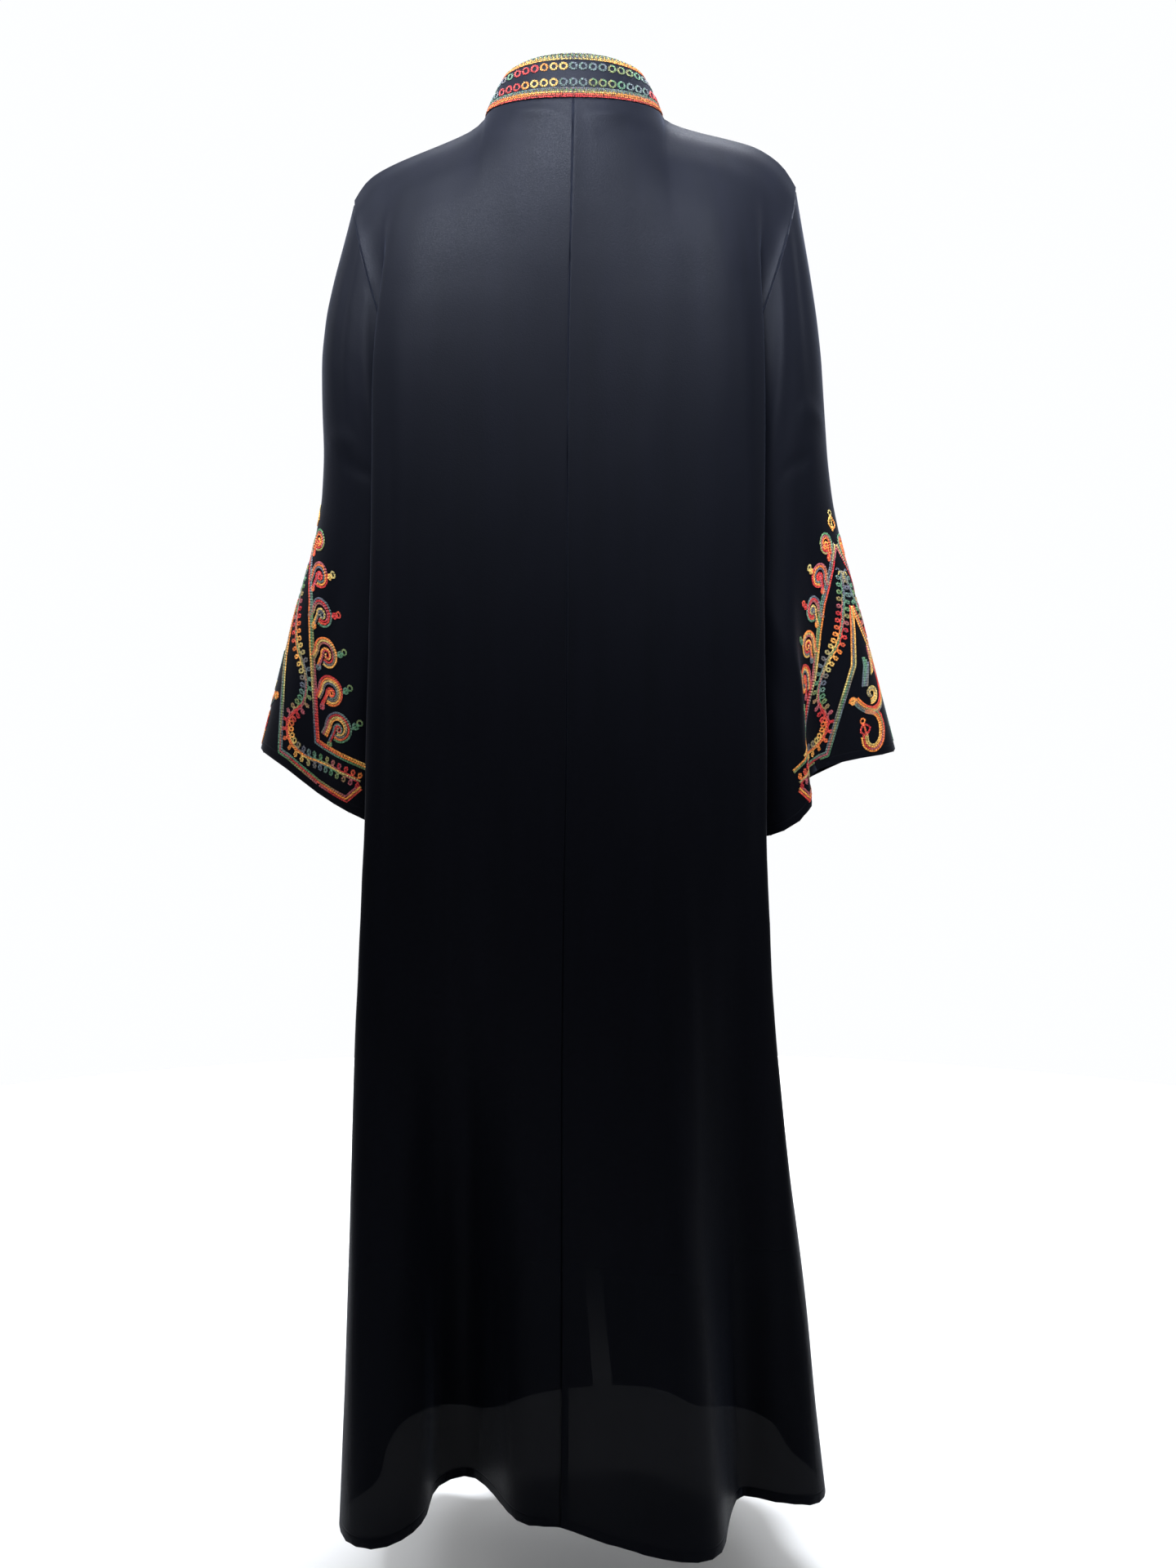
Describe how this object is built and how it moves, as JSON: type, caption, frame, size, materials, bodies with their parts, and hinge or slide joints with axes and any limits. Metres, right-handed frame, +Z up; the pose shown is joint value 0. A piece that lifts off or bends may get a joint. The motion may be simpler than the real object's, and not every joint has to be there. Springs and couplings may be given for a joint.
{
  "type": "abaya",
  "caption": "Long open-front abaya in black crepe, in its worn form, with a stand collar and trumpet cuffs worked in bright chain-stitch cord.",
  "frame": {"origin": "midway between the two points where the shoulder seams meet the collar band, where the wearer's shoulders carry it", "axes": "+Z up, +X to the wearer's left, and the front faces -Y"},
  "size_m": [0.6922, 0.3909, 1.4545],
  "materials": {
    "black_crepe": "soft matte crepe",
    "collar_crepe": "interfaced crepe under cord embroidery"
  },
  "bodies": {
    "root": {"back_left": "black_crepe", "back_right": "black_crepe", "front_left": "black_crepe", "front_right": "black_crepe", "sleeve_left": "black_crepe", "sleeve_right": "black_crepe", "collar_band": "collar_crepe"}
  },
  "joints": []
}
